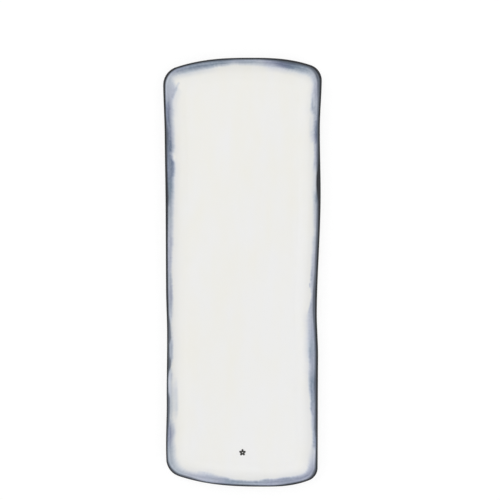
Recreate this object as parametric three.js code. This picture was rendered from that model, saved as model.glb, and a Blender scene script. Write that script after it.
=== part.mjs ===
// An oblong stoneware serving plate with softly waved sides, bowed ends and an upturned lip.
// A pressed clay slab and the foot ring luted under it carry the fired coats that cover them:
// a charcoal line over the lip, a blue-grey wash inside it, and white glaze on the face and the back.
// Millimetres, +Z up, +Y towards the wide end. The origin is on the table, under the middle.

import * as THREE from "three";

// Plan, over the lip
const LENGTH = 400;
const WIDE_END_WIDTH = 148;
const NARROW_END_WIDTH = 141;
const WIDE_END_CROWN = 9; // how far right of the middle the wide end reaches furthest
const NARROW_END_CROWN = 21; // the same for the narrow end
const BOW_POWER = 2.7; // an end is flat at its crown and falls away faster towards its corners

// Corners, each with the radius of its round and how far the end's bow has dropped there
const WIDE_RIGHT_RADIUS = 15.2;
const WIDE_RIGHT_DROP = 10.9;
const WIDE_LEFT_RADIUS = 17.6;
const WIDE_LEFT_DROP = 13.4;
const NARROW_LEFT_RADIUS = 17;
const NARROW_LEFT_DROP = 14;
const NARROW_RIGHT_RADIUS = 12.6;
const NARROW_RIGHT_DROP = 9.8;
const CORNER_TIGHTENING = 0.35; // a corner's radius shrinks by this much for each millimetre inwards
const LEAST_CORNER_RADIUS = 8;

// Waves pressed into the long sides by hand: share of the length from the narrow end, depth inwards
const RIGHT_WAVES = [
  [0, 0.5],
  [0.3, 1],
  [0.41, 2.55],
  [0.67, -0.1],
  [0.84, 1.2],
  [0.95, -0.2],
  [1, -0.2],
];
const LEFT_WAVES = [
  [0, 0.2],
  [0.09, -0.5],
  [0.2, 0.5],
  [0.36, 1.4],
  [0.46, 0.8],
  [0.66, 1.05],
  [0.82, 0.75],
  [0.94, -0.2],
  [1, -0.2],
];

// Section, over the glaze
const HEIGHT = 18; // table to the top of the lip
const UNDERSIDE_HEIGHT = 3; // table to the glazed underside
const FLOOR_THICKNESS = 6.5;
const LIP_THICKNESS = 4.6;
const WALL_RUN = 22; // from the outermost edge inwards to the flat floor
const FLOOR_BEND = 9; // how far the wall's centre line keeps level as it leaves the floor
const LIP_REACH = 6; // how far it runs straight as it arrives at the lip
const LIP_LEAN = 58; // its angle above the table there, in degrees

// Foot ring
const FOOT_SETBACK = 4; // from the edge of the flat underside to the foot's outer side
const FOOT_WIDTH = 7; // where it meets the slab
const FOOT_TAPER = 0.6; // drawn in on each side at the chamfer
const FOOT_CHAMFER = 0.8;
const WIPED_MARGIN = 1; // clay left bare beside the foot, where glaze is wiped back

// Fired coats
const GLAZE_THICKNESS = 0.6;
const BOND_GAP = 0.05; // between a coat and what it lies on
const COAT_GAP = 0.3; // between neighbouring coats
const RIM_LINE_WIDTH = 1.9; // seen from above, from the outermost edge
const WASH_WIDTH = 10; // the same, over the rim line and the wash

// Blossom painted on the floor by the narrow end
const MARK_FROM_FLOOR_EDGE = 9; // from the end of the flat floor to the blossom's centre
const MARK_RADIUS = 3.2;
const MARK_EYE_RADIUS = 0.45;
const MARK_THICKNESS = 0.15;
const MARK_PETALS = 5;
const MARK_WAIST = 0.55; // the radius between petals, as a share of a petal's

// Steps of the faceted surfaces
const SIDE_STEPS = 14;
const END_STEPS = 8;
const CORNER_STEPS = 6;
const WALL_STEPS = 6;
const RIM_LINE_STEPS = 5;
const LIP_STEPS = 3;
const WASH_STEPS = 3;
const WELL_STEPS = 4;
const PETAL_STEPS = 8;
const EYE_STEPS = 12;
const SEARCH_STEPS = 40; // of each numeric search
const SLOPE_STEP = 0.01; // over which a slope is measured

const { lerp, smoothstep, degToRad } = THREE.MathUtils;

// Plan outline

function waveDepth(waves, share) {
  const next = Math.max(1, waves.findIndex(([at]) => at >= share));
  const [from, depthFrom] = waves[next - 1];
  const [to, depthTo] = waves[next];
  return lerp(depthFrom, depthTo, smoothstep(share, from, to));
}

const right = { sign: 1, waves: RIGHT_WAVES };
const left = { sign: -1, waves: LEFT_WAVES };
const wide = { sign: 1, crown: WIDE_END_CROWN, halfWidth: WIDE_END_WIDTH / 2 };
const narrow = { sign: -1, crown: NARROW_END_CROWN, halfWidth: NARROW_END_WIDTH / 2 };
Object.assign(wide, { rightDrop: WIDE_RIGHT_DROP, leftDrop: WIDE_LEFT_DROP });
Object.assign(narrow, { rightDrop: NARROW_RIGHT_DROP, leftDrop: NARROW_LEFT_DROP });

function halfWidth(side, y) {
  const share = THREE.MathUtils.clamp(y / LENGTH + 0.5, 0, 1);
  return lerp(narrow.halfWidth, wide.halfWidth, share) - waveDepth(side.waves, share);
}

function bowDrop(end, x) {
  const rightOfCrown = x > end.crown;
  const span = rightOfCrown ? end.halfWidth - end.crown : end.halfWidth + end.crown;
  const drop = rightOfCrown ? end.rightDrop : end.leftDrop;
  return drop * Math.pow(Math.abs(x - end.crown) / span, BOW_POWER);
}

const slope = (f, at) => (f(at + SLOPE_STEP) - f(at - SLOPE_STEP)) / (2 * SLOPE_STEP);

// A point of a long side, moved inwards square to the side, with the side's outward normal
function sideAt(side, y, inset) {
  const normal = new THREE.Vector2(side.sign, -slope((v) => halfWidth(side, v), y)).normalize();
  const point = new THREE.Vector2(side.sign * halfWidth(side, y), y).addScaledVector(normal, -inset);
  return { point, normal };
}

// The same for an end, at x
function endAt(end, x, inset) {
  const normal = new THREE.Vector2(slope((v) => bowDrop(end, v), x), end.sign).normalize();
  const reach = LENGTH / 2 - bowDrop(end, x);
  const point = new THREE.Vector2(x, end.sign * reach).addScaledVector(normal, -inset);
  return { point, normal };
}

// The round that joins a side to an end at an inset: its centre lies equally far inside both
function cornerAt(side, end, radius, inset) {
  const round = Math.max(radius - CORNER_TIGHTENING * inset, LEAST_CORNER_RADIUS);
  const depth = inset + round;
  let x = side.sign * (end.halfWidth - depth);
  let y = end.sign * (LENGTH / 2 - depth);
  for (let i = 0; i < SEARCH_STEPS; i++) {
    const onSide = sideAt(side, y, depth).point;
    const onEnd = endAt(end, x, depth).point;
    x += onSide.x - onEnd.x;
    y += onEnd.y - onSide.y;
  }
  const { point: centre, normal: sideNormal } = sideAt(side, y, depth);
  const endNormal = endAt(end, x, depth).normal;
  return { x, y, round, centre, sideNormal, endNormal };
}

const steps = (count, from, to) =>
  Array.from({ length: count }, (_, i) => lerp(from, to, i / count));

function cornerArc({ centre, round }, fromNormal, toNormal) {
  const from = fromNormal.angle();
  const turn = THREE.MathUtils.euclideanModulo(toNormal.angle() - from, 2 * Math.PI);
  return steps(CORNER_STEPS, from, from + turn).map(
    (angle) =>
      new THREE.Vector2(centre.x + round * Math.cos(angle), centre.y + round * Math.sin(angle)),
  );
}

// The plan outline moved inwards, anticlockwise from the narrow end of the right side
function ring(inset) {
  const wideRight = cornerAt(right, wide, WIDE_RIGHT_RADIUS, inset);
  const wideLeft = cornerAt(left, wide, WIDE_LEFT_RADIUS, inset);
  const narrowLeft = cornerAt(left, narrow, NARROW_LEFT_RADIUS, inset);
  const narrowRight = cornerAt(right, narrow, NARROW_RIGHT_RADIUS, inset);
  const along = (side, from, to) =>
    steps(SIDE_STEPS, from.y, to.y).map((y) => sideAt(side, y, inset).point);
  const across = (end, from, to) =>
    steps(END_STEPS, from.x, to.x).map((x) => endAt(end, x, inset).point);
  return [
    ...along(right, narrowRight, wideRight),
    ...cornerArc(wideRight, wideRight.sideNormal, wideRight.endNormal),
    ...across(wide, wideRight, wideLeft),
    ...cornerArc(wideLeft, wideLeft.endNormal, wideLeft.sideNormal),
    ...along(left, wideLeft, narrowLeft),
    ...cornerArc(narrowLeft, narrowLeft.sideNormal, narrowLeft.endNormal),
    ...across(narrow, narrowLeft, narrowRight),
    ...cornerArc(narrowRight, narrowRight.endNormal, narrowRight.sideNormal),
  ];
}

// Section of the wall: x is the inset from the outermost edge, y the height above the table

const FLOOR_HEIGHT = UNDERSIDE_HEIGHT + FLOOR_THICKNESS;
const FLOOR_MIDDLE = UNDERSIDE_HEIGHT + FLOOR_THICKNESS / 2;
const LIP_RADIUS = LIP_THICKNESS / 2;
const lean = new THREE.Vector2(Math.cos(degToRad(LIP_LEAN)), -Math.sin(degToRad(LIP_LEAN)));
const lipCentre = new THREE.Vector2(LIP_RADIUS, HEIGHT - LIP_RADIUS);
const centreLine = new THREE.CubicBezierCurve(
  new THREE.Vector2(WALL_RUN, FLOOR_MIDDLE),
  new THREE.Vector2(WALL_RUN - FLOOR_BEND, FLOOR_MIDDLE),
  lipCentre.clone().addScaledVector(lean, LIP_REACH),
  lipCentre,
);

// A station of the finished surface: its point and the direction out of the glaze.
// along runs from 0 at the floor to 1 at the lip, and face is 1 inside the plate and -1 on its back.
function wallStation(along, face) {
  const tangent = centreLine.getTangent(along);
  const normal = new THREE.Vector2(tangent.y, -tangent.x).multiplyScalar(face);
  const thickness = lerp(FLOOR_THICKNESS, LIP_THICKNESS, smoothstep(along, 0, 1));
  const point = centreLine.getPoint(along).addScaledVector(normal, thickness / 2);
  return { point, normal };
}

function lipStation(angle) {
  const normal = new THREE.Vector2(Math.cos(angle), Math.sin(angle));
  return { point: lipCentre.clone().addScaledVector(normal, LIP_RADIUS), normal };
}

// How far up the wall the face lies at a given inset
function faceAlong(inset) {
  let low = 0;
  let high = 1;
  for (let i = 0; i < SEARCH_STEPS; i++) {
    const middle = (low + high) / 2;
    if (wallStation(middle, 1).point.x > inset) low = middle;
    else high = middle;
  }
  return (low + high) / 2;
}

const through = (count, from, to) => [...steps(count, from, to), to];

const washAlong = faceAlong(WASH_WIDTH);
const lipBackAngle = Math.PI + wallStation(1, 1).normal.angle();
const rimLineAngle = Math.acos((RIM_LINE_WIDTH - LIP_RADIUS) / LIP_RADIUS);
const lipFaceAngle = wallStation(1, 1).normal.angle();

const backStations = through(WALL_STEPS, 0, 1).map((at) => wallStation(at, -1));
const rimLineStations = through(RIM_LINE_STEPS, lipBackAngle, rimLineAngle).map(lipStation);
const washStations = [
  ...steps(LIP_STEPS, rimLineAngle, lipFaceAngle).map(lipStation),
  ...through(WASH_STEPS, 1, washAlong).map((at) => wallStation(at, 1)),
];
const wellStations = through(WELL_STEPS, washAlong, 0).map((at) => wallStation(at, 1));

const sunk = (station, depth) => station.point.clone().addScaledVector(station.normal, -depth);

// Foot and blossom are set out from the edge of the flat floor
const FOOT_INSET = WALL_RUN + FOOT_SETBACK;
const MARK_INSET = WALL_RUN + MARK_FROM_FLOOR_EDGE;

// Solids made of rings stacked from section points

const ringAt = (point) =>
  ring(point.x).map((p) => new THREE.Vector3(p.x, p.y, point.y));

function capTriangles(section, facingUp) {
  const flat = section.map((p) => new THREE.Vector2(p.x, p.y));
  return THREE.ShapeUtils.triangulateShape(flat, []).map(([a, b, c]) => {
    const area = THREE.ShapeUtils.area([flat[a], flat[b], flat[c]]);
    return area > 0 === facingUp ? [a, b, c] : [a, c, b];
  });
}

// A closed solid through rings that start at the underside and run outwards, up and back in.
// Where it is a hoop the last ring joins the first; otherwise both are filled in.
function stack(sectionPoints, isHoop) {
  const sections = sectionPoints.map(ringAt);
  const count = sections[0].length;
  const triangles = [];
  const joins = isHoop ? sections.length : sections.length - 1;
  for (let k = 0; k < joins; k++) {
    const lower = k * count;
    const upper = ((k + 1) % sections.length) * count;
    for (let i = 0; i < count; i++) {
      const j = (i + 1) % count;
      triangles.push([lower + i, lower + j, upper + j], [lower + i, upper + j, upper + i]);
    }
  }
  if (!isHoop) {
    const top = (sections.length - 1) * count;
    triangles.push(...capTriangles(sections[0], false));
    triangles.push(
      ...capTriangles(sections.at(-1), true).map((corners) => corners.map((v) => v + top)),
    );
  }
  const geometry = new THREE.BufferGeometry().setFromPoints(sections.flat());
  geometry.setIndex(triangles.flat());
  geometry.computeVertexNormals();
  return geometry;
}

// The stations of a coat, with its ends drawn back from the neighbouring coats
function drawnBack(stations, fromStart, fromEnd) {
  const towards = (here, next, distance) => {
    const share = distance / here.point.distanceTo(next.point);
    return {
      point: here.point.clone().lerp(next.point, share),
      normal: here.normal.clone().lerp(next.normal, share),
    };
  };
  const last = stations.length - 1;
  return [
    towards(stations[0], stations[1], fromStart),
    ...stations.slice(1, last),
    towards(stations[last], stations[last - 1], fromEnd),
  ];
}

const outside = (stations) => stations.map((station) => station.point);
const inside = (stations) => stations.map((station) => sunk(station, GLAZE_THICKNESS));

function hoopCoat(stations) {
  return stack([...outside(stations), ...inside(stations).reverse()], true);
}

function clayBody() {
  const stations = [...backStations, ...rimLineStations.slice(1), ...washStations.slice(1)];
  stations.push(...wellStations.slice(1));
  return stack(
    stations.map((station) => sunk(station, GLAZE_THICKNESS + BOND_GAP)),
    false,
  );
}

function footRing() {
  const top = UNDERSIDE_HEIGHT + GLAZE_THICKNESS;
  const drawnIn = FOOT_TAPER + FOOT_CHAMFER;
  const halfSection = [
    [drawnIn, 0],
    [FOOT_TAPER, FOOT_CHAMFER],
    [0, top],
  ];
  const outerSide = halfSection.map(([x, z]) => new THREE.Vector2(FOOT_INSET + x, z));
  const innerSide = halfSection.map(([x, z]) => new THREE.Vector2(FOOT_INSET + FOOT_WIDTH - x, z));
  return stack([...outerSide, ...innerSide.reverse()], true);
}

function backGlaze() {
  const underside = new THREE.Vector2(FOOT_INSET - WIPED_MARGIN, UNDERSIDE_HEIGHT);
  const wiped = { point: underside, normal: backStations[0].normal };
  return hoopCoat(drawnBack([wiped, ...backStations], 0, COAT_GAP / 2));
}

function baseGlaze() {
  const inset = FOOT_INSET + FOOT_WIDTH + WIPED_MARGIN;
  const heights = [UNDERSIDE_HEIGHT, UNDERSIDE_HEIGHT + GLAZE_THICKNESS];
  return stack(
    heights.map((z) => new THREE.Vector2(inset, z)),
    false,
  );
}

function faceGlaze() {
  const stations = drawnBack(wellStations, COAT_GAP / 2, 0);
  return stack([...inside(stations).reverse(), ...outside(stations)], false);
}

function blossomMark() {
  const petalRadius = (angle) =>
    MARK_RADIUS * lerp(MARK_WAIST, 1, Math.abs(Math.cos((MARK_PETALS * angle) / 2)));
  const outline = steps(MARK_PETALS * PETAL_STEPS, 0, 2 * Math.PI).map((angle) => {
    const radius = petalRadius(angle);
    return new THREE.Vector2(-radius * Math.sin(angle), radius * Math.cos(angle));
  });
  const eye = steps(EYE_STEPS, 0, 2 * Math.PI).map(
    (angle) => new THREE.Vector2(Math.cos(angle), Math.sin(angle)).multiplyScalar(MARK_EYE_RADIUS),
  );
  const shape = new THREE.Shape(outline);
  shape.holes.push(new THREE.Path(eye));
  return new THREE.ExtrudeGeometry(shape, { depth: MARK_THICKNESS, bevelEnabled: false });
}

// Assembly

const glaze = { metalness: 0, roughness: 0.18 };
const clay = { color: "#cdb79c", metalness: 0, roughness: 0.85 };
const whiteGlaze = { ...glaze, color: "#ecece8" };

function piece(name, geometry, finish) {
  const mesh = new THREE.Mesh(geometry, new THREE.MeshStandardMaterial(finish));
  mesh.name = name;
  return mesh;
}

const mark = piece("blossom_mark", blossomMark(), { ...glaze, color: "#3c3d42" });
mark.position.set(0, MARK_INSET - LENGTH / 2, FLOOR_HEIGHT + BOND_GAP);

const plate = new THREE.Group();
plate.add(
  piece("clay_body", clayBody(), clay),
  piece("foot_ring", footRing(), clay),
  piece("face_glaze", faceGlaze(), whiteGlaze),
  piece("edge_wash", hoopCoat(drawnBack(washStations, COAT_GAP / 2, COAT_GAP / 2)), {
    ...glaze,
    color: "#a4adbe",
  }),
  piece("rim_line", hoopCoat(drawnBack(rimLineStations, COAT_GAP / 2, COAT_GAP / 2)), {
    ...glaze,
    color: "#3f4148",
  }),
  piece("back_glaze", backGlaze(), whiteGlaze),
  piece("base_glaze", baseGlaze(), whiteGlaze),
  mark,
);

// The waves leave the outline a little off the middle, so the plate is set back over the origin
const outline = new THREE.Box2().setFromPoints(ring(0));
const middle = outline.getCenter(new THREE.Vector2());
plate.position.set(-middle.x, -middle.y, 0);

export default plate;
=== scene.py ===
# %% [markdown]
# # A long stoneware plate with a brushed blue-grey edge
#
# The plate is one slab of clay with an upturned lip. It stands on a low foot ring, and fired coats cover
# it: a charcoal line over the lip, a blue-grey wash inside that line, and white glaze on the rest. The
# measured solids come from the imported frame. This lesson lays a finer surface over each of them, in the
# same place and at the same size, and then finishes it with nodes.

import bpy
import numpy as np
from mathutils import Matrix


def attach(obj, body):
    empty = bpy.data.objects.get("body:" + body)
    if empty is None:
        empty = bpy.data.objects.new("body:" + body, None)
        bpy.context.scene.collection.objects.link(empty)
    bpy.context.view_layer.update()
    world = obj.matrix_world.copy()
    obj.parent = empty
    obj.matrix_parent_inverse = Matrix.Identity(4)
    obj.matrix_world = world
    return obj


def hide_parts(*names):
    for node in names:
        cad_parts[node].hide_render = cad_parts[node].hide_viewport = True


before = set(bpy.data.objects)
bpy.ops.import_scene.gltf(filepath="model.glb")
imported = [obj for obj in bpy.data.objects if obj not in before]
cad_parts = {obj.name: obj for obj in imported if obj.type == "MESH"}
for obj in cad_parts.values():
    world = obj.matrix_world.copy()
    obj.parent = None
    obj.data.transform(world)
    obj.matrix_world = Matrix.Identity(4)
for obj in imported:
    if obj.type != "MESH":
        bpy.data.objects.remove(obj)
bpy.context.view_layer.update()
print("solids:", ", ".join(sorted(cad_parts)))

# %% [markdown]
# ## The outline
#
# Seen from above, the plate is a long rectangle drawn by hand. It could be traced as one list of points,
# but a few rules hold it better. Each long side is a straight line with shallow waves pressed into it.
# Each end is a bow that falls away from its crown, and a round joins them at each corner. Rules can also
# be moved inwards, so the same values give the lip, the edge of the floor, the foot and all between.

# %% Sizes of the outline, in millimetres
LENGTH = 400
NARROW_HALF_WIDTH = 70.5
WIDE_HALF_WIDTH = 74
BOW_POWER = 2.7  # an end is flat at its crown and falls away faster towards its corners
CORNER_TIGHTENING = 0.35  # a corner's radius shrinks by this much for each millimetre inwards
LEAST_CORNER_RADIUS = 8

# Waves of the long sides: share of the length from the narrow end, depth inwards
RIGHT_WAVES = [(0, 0.5), (0.3, 1.0), (0.41, 2.55), (0.67, -0.1), (0.84, 1.2), (0.95, -0.2), (1, -0.2)]
LEFT_WAVES = [
    (0, 0.2), (0.09, -0.5), (0.2, 0.5), (0.36, 1.4), (0.46, 0.8),
    (0.66, 1.05), (0.82, 0.75), (0.94, -0.2), (1, -0.2),
]

# A side: the way it faces, and its waves
RIGHT = {"sign": 1, "waves": RIGHT_WAVES}
LEFT = {"sign": -1, "waves": LEFT_WAVES}

# An end: the way it faces, half its width, how far right of the middle its crown lies, and how far it has
# dropped at its right and left corners
WIDE = {"sign": 1, "half_width": WIDE_HALF_WIDTH, "crown": 9, "right_drop": 10.9, "left_drop": 13.4}
NARROW = {"sign": -1, "half_width": NARROW_HALF_WIDTH, "crown": 21, "right_drop": 9.8, "left_drop": 14}
WIDE_RIGHT_RADIUS, WIDE_LEFT_RADIUS, NARROW_LEFT_RADIUS, NARROW_RIGHT_RADIUS = 15.2, 17.6, 17, 12.6

# Points on each side, each end and each corner: of the coats, and of the clay and the base below them
FINE = (300, 104, 24)
PLAIN = (96, 34, 10)
print("the plate is", round(LENGTH / (2 * WIDE_HALF_WIDTH), 2), "times as long as it is wide")


# %% The rules of a side and an end
def smooth(t):
    """The smooth step: 3 t squared less 2 t cubed, with t held between 0 and 1."""
    t = np.clip(t, 0, 1)
    return t * t * (3 - 2 * t)


def half_width(side, y):
    """Half the width at y: a straight taper from the narrow end to the wide one, less the wave's depth.
    The depth goes from each wave point to the next by a smooth step."""
    share = np.clip(y / LENGTH + 0.5, 0, 1)
    at, depth = np.array(side["waves"]).T
    k = np.clip(np.searchsorted(at, share), 1, len(at) - 1)
    rise = smooth((share - at[k - 1]) / (at[k] - at[k - 1]))
    wave = depth[k - 1] + (depth[k] - depth[k - 1]) * rise
    return NARROW_HALF_WIDTH + (WIDE_HALF_WIDTH - NARROW_HALF_WIDTH) * share - wave


def bow_drop(end, x):
    """How far an end has dropped at x: its corner's drop times a power of the share of the way there."""
    right_of_crown = x > end["crown"]
    span = end["half_width"] + np.where(right_of_crown, -end["crown"], end["crown"])
    drop = np.where(right_of_crown, end["right_drop"], end["left_drop"])
    return drop * (np.abs(x - end["crown"]) / span) ** BOW_POWER


middle_widths = [round(float(half_width(side, 0.0)), 2) for side in (RIGHT, LEFT)]
print("half width at the middle in mm, right and left:", middle_widths)

# %% Points on a side and on an end
SLOPE_STEP = 0.01  # mm


def slope(rule, edge, at):
    """The rise of a rule for each millimetre, taken between two points close to either side."""
    return (rule(edge, at + SLOPE_STEP) - rule(edge, at - SLOPE_STEP)) / (2 * SLOPE_STEP)


def side_at(side, y, inset):
    """x, y and the outward normal's angle on a long side at y, moved inwards along that normal."""
    angle = np.arctan2(-slope(half_width, side, y), side["sign"])
    x = side["sign"] * half_width(side, y)
    return x - inset * np.cos(angle), y - inset * np.sin(angle), angle


def end_at(end, x, inset):
    """x, y and the outward normal's angle on an end at x, moved inwards along that normal."""
    angle = np.arctan2(end["sign"], slope(bow_drop, end, x))
    y = end["sign"] * (LENGTH / 2 - bow_drop(end, x))
    return x - inset * np.cos(angle), y - inset * np.sin(angle), angle


lean = np.degrees(side_at(RIGHT, 0.0, 0)[2])
print("the right side's middle faces", round(lean, 2), "degrees off the x axis")

# %% The round of a corner
SEARCH_STEPS = 40


def corner_at(side, end, radius, inset):
    """The round of a corner at each inset. Its centre is as deep inside the side as inside the end:
    x and y are stepped by the miss of one rule against the other until both meet there."""
    bend = np.maximum(radius - CORNER_TIGHTENING * inset, LEAST_CORNER_RADIUS)
    depth = inset + bend
    x = side["sign"] * (end["half_width"] - depth)
    y = end["sign"] * (LENGTH / 2 - depth)
    for _ in range(SEARCH_STEPS):
        side_x, side_y, side_angle = side_at(side, y, depth)
        end_x, end_y, end_angle = end_at(end, x, depth)
        x, y = x + side_x - end_x, y + end_y - side_y
    return {"x": x, "y": y, "bend": bend, "centre": (side_x, side_y), "side": side_angle, "end": end_angle}


lip_corner = corner_at(RIGHT, WIDE, WIDE_RIGHT_RADIUS, 0.0)
print("centre of the wide right corner's round, in mm:", np.round(lip_corner["centre"], 1))


# %% The whole ring
def between(start, stop, count):
    """count points from start towards stop, without stop itself."""
    return start + (stop - start) * np.arange(count) / count


def arc(corner, start, stop, count):
    """The round of a corner, anticlockwise: its centre plus its radius along the turning angle."""
    angle = between(start, start + (stop - start) % (2 * np.pi), count)
    x, y = corner["centre"]
    return x + corner["bend"] * np.cos(angle), y + corner["bend"] * np.sin(angle)


def ring(insets, steps):
    """The outline moved inwards, one row of points for each inset, anticlockwise from the narrow end of
    the right side: side, round, end and round in turn, and then the same on the left."""
    inset = np.asarray(insets, float)[:, None]
    on_side, on_end, on_round = steps
    wide_right = corner_at(RIGHT, WIDE, WIDE_RIGHT_RADIUS, inset)
    wide_left = corner_at(LEFT, WIDE, WIDE_LEFT_RADIUS, inset)
    narrow_left = corner_at(LEFT, NARROW, NARROW_LEFT_RADIUS, inset)
    narrow_right = corner_at(RIGHT, NARROW, NARROW_RIGHT_RADIUS, inset)
    stretches = [
        side_at(RIGHT, between(narrow_right["y"], wide_right["y"], on_side), inset)[:2],
        arc(wide_right, wide_right["side"], wide_right["end"], on_round),
        end_at(WIDE, between(wide_right["x"], wide_left["x"], on_end), inset)[:2],
        arc(wide_left, wide_left["end"], wide_left["side"], on_round),
        side_at(LEFT, between(wide_left["y"], narrow_left["y"], on_side), inset)[:2],
        arc(narrow_left, narrow_left["side"], narrow_left["end"], on_round),
        end_at(NARROW, between(narrow_left["x"], narrow_right["x"], on_end), inset)[:2],
        arc(narrow_right, narrow_right["end"], narrow_right["side"], on_round),
    ]
    return np.concatenate([np.stack(stretch, axis=-1) for stretch in stretches], axis=1)


lip_edge = ring([0], FINE)[0]
MIDDLE = (lip_edge.min(axis=0) + lip_edge.max(axis=0)) / 2
print("points round the lip:", len(lip_edge), "middle of the outline in mm:", np.round(MIDDLE, 3))


# %% Distances round the lip
def way_round(steps):
    """How far each column of points lies round the lip, in mm: the running sum of the steps between."""
    edge = ring([0], steps)[0]
    step = np.linalg.norm(np.roll(edge, -1, axis=0) - edge, axis=1)
    return np.concatenate([[0], np.cumsum(step)[:-1]]), step.sum()


fine_way, PERIMETER = way_round(FINE)
print("once round the lip in mm:", round(PERIMETER, 1))

# %% [markdown]
# ## The section of the wall
#
# Cut across, the slab is flat in the middle, bends up into a low wall and ends in a round lip. The wall's
# centre line is one cubic curve from the floor to the lip, and the face and the back lie half a thickness
# to either side of it. A bevelled box would look moulded here: the long soft bend is what makes the plate
# look pressed by hand.

# %% Sizes of the section, in millimetres
HEIGHT = 18
UNDERSIDE_HEIGHT = 3
FLOOR_THICKNESS = 6.5
LIP_THICKNESS = 4.6
WALL_RUN = 22
FLOOR_BEND = 9
LIP_REACH = 6
LIP_LEAN = np.radians(58)
GLAZE_THICKNESS = 0.6
BOND_GAP = 0.05
RIM_LINE_WIDTH = 1.9
WASH_WIDTH = 10

FLOOR_HEIGHT = UNDERSIDE_HEIGHT + FLOOR_THICKNESS
FLOOR_MIDDLE = UNDERSIDE_HEIGHT + FLOOR_THICKNESS / 2
LIP_RADIUS = LIP_THICKNESS / 2
LIP_CENTRE = np.array([LIP_RADIUS, HEIGHT - LIP_RADIUS])
CENTRE_LINE = np.array([
    [WALL_RUN, FLOOR_MIDDLE],
    [WALL_RUN - FLOOR_BEND, FLOOR_MIDDLE],
    LIP_CENTRE + LIP_REACH * np.array([np.cos(LIP_LEAN), -np.sin(LIP_LEAN)]),
    LIP_CENTRE,
])


# %% Points of the section, each an inset and a height with the direction out of the glaze
def wall(along, face):
    """The wall from 0 at the floor to 1 at the lip: the cubic curve's point, moved half the thickness
    square to the curve, to the inside where face is 1 and to the back where it is -1."""
    t = np.asarray(along, float)[:, None]
    weights = np.hstack([(1 - t) ** 3, 3 * t * (1 - t) ** 2, 3 * t**2 * (1 - t), t**3])
    turns = np.hstack([(1 - t) ** 2, 2 * t * (1 - t), t**2])
    tangent = turns @ np.diff(CENTRE_LINE, axis=0)
    tangent /= np.linalg.norm(tangent, axis=1, keepdims=True)
    normal = face * np.column_stack([tangent[:, 1], -tangent[:, 0]])
    thickness = FLOOR_THICKNESS + (LIP_THICKNESS - FLOOR_THICKNESS) * smooth(t)
    return weights @ CENTRE_LINE + normal * thickness / 2, normal


def lip(angle):
    """The round of the lip: its centre plus its radius along the angle."""
    normal = np.column_stack([np.cos(angle), np.sin(angle)])
    return LIP_CENTRE + LIP_RADIUS * normal, normal


def joined(*stretches):
    """Stretches of the section joined end to end, without the points that two of them share."""
    kept = [stretches[0]] + [(points[1:], normals[1:]) for points, normals in stretches[1:]]
    return np.concatenate([points for points, _ in kept]), np.concatenate([normals for _, normals in kept])


# %% The four stretches of the section that carry a coat
FACE, BACK = 1, -1
NEAR_END = 0.1  # from a coat's border to its next point, as a share of the other steps
BACK_STEPS, RIM_LINE_STEPS, WASH_LIP_STEPS, WASH_WALL_STEPS, WELL_STEPS = 22, 20, 10, 30, 26
LOOKUP_STEPS = 2001


def edged(start, stop, count):
    """Even steps from start to stop, with one more point close to each end. The strip along a coat's
    border then faces as the wall does there, so two coats shade alike where they meet."""
    even = np.linspace(start, stop, count)
    close = NEAR_END * (even[1] - even[0])
    return np.concatenate([even[:1], even[:1] + close, even[1:-1], even[-1:] - close, even[-1:]])


# The wash ends where the face of the wall lies its width inside the rim
dense = np.linspace(0, 1, LOOKUP_STEPS)
WASH_ALONG = np.interp(-WASH_WIDTH, -wall(dense, FACE)[0][:, 0], dense)

# The lip's round runs from the back of the wall to its face
face_out = wall([1], FACE)[1][0]
LIP_FACE_ANGLE = np.arctan2(face_out[1], face_out[0])
LIP_BACK_ANGLE = LIP_FACE_ANGLE + np.pi
RIM_LINE_ANGLE = np.arccos((RIM_LINE_WIDTH - LIP_RADIUS) / LIP_RADIUS)

back_wall = wall(edged(0, 1, BACK_STEPS), BACK)
rim_line = lip(edged(LIP_BACK_ANGLE, RIM_LINE_ANGLE, RIM_LINE_STEPS))
wash_slope = joined(
    lip(edged(RIM_LINE_ANGLE, LIP_FACE_ANGLE, WASH_LIP_STEPS)),
    wall(edged(1, WASH_ALONG, WASH_WALL_STEPS), FACE),
)
well_slope = wall(edged(WASH_ALONG, 0, WELL_STEPS), FACE)
SECTIONS = (back_wall, rim_line, wash_slope, well_slope)
print("points of the four stretches:", [len(points) for points, _ in SECTIONS])

# %% [markdown]
# ## From a section to a shell
#
# A coat is a thin closed shell: its outer points run along the section and its inner points come back one
# glaze thickness below them. A Solidify modifier could thicken a sheet, but with both faces from one
# section, the coats meet point to point. Carrying the points round the ring gives a grid that closes both
# ways, like a hoop. The lip of a hand-formed plate isn't quite level, so each column sinks a little, by a
# few slow waves that fade out towards the floor. All coats and the clay take the same waves and stay
# together.

# %% Place the section's points round the ring
MM = 0.001
LIP_WANDER = 0.5
LIP_WAVES = [(3, 0.5, 1.1), (5, 0.3, 4.0), (8, 0.2, 2.6)]  # waves in one round, share, start


def lip_sink(way):
    """How far the lip lies below its highest level: a sum of slow sines round the plate, scaled to 0..1."""
    turn = 2 * np.pi * way / PERIMETER
    waves = sum(share * np.sin(count * turn + start) for count, share, start in LIP_WAVES)
    return LIP_WANDER * (1 + waves) / 2


def carried(section, steps):
    """Points of the section, carried round the ring: rows along the section, columns round the plate.
    The sink of the lip fades to nothing between the lip and the floor."""
    plan = ring(section[:, 0], steps) - MIDDLE
    share = smooth((section[:, 1] - FLOOR_HEIGHT) / (HEIGHT - FLOOR_HEIGHT))
    way, _ = way_round(steps)
    height = section[:, 1, None] - share[:, None] * lip_sink(way)
    return np.concatenate([plan, height[..., None]], axis=-1)


sinks = lip_sink(fine_way)
print("lip sinks between", round(sinks.min(), 2), "and", round(sinks.max(), 2), "mm")


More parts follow.
